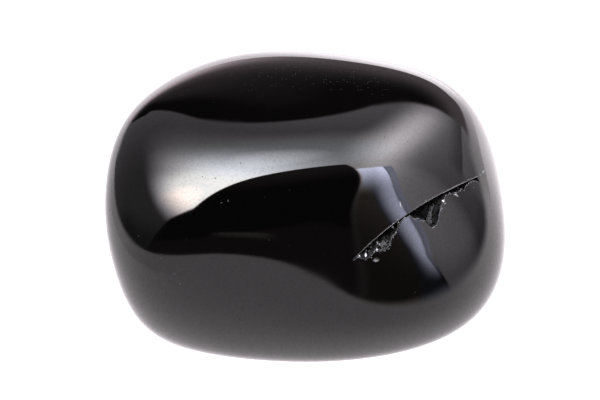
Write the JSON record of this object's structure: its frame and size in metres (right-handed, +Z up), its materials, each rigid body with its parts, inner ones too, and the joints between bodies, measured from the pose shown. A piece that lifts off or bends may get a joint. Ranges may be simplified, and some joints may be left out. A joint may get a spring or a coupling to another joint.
{
  "type": "black onyx stone",
  "caption": "Polished black onyx pebble with worn flats and a short open crack along one side, for a display, tray or jewellery scene.",
  "frame": {"origin": "on the flat that the stone lies on, under the middle of its bounding box", "axes": "+Z up, +X along the stone's length towards the cracked end, -Y out of the front that carries the crack"},
  "size_m": [0.026, 0.021, 0.0149],
  "materials": {
    "black_onyx": "high tumbled polish, black, with a rough glassy break inside the crack"
  },
  "bodies": {
    "root": {"onyx_stone": "black_onyx"}
  },
  "joints": []
}
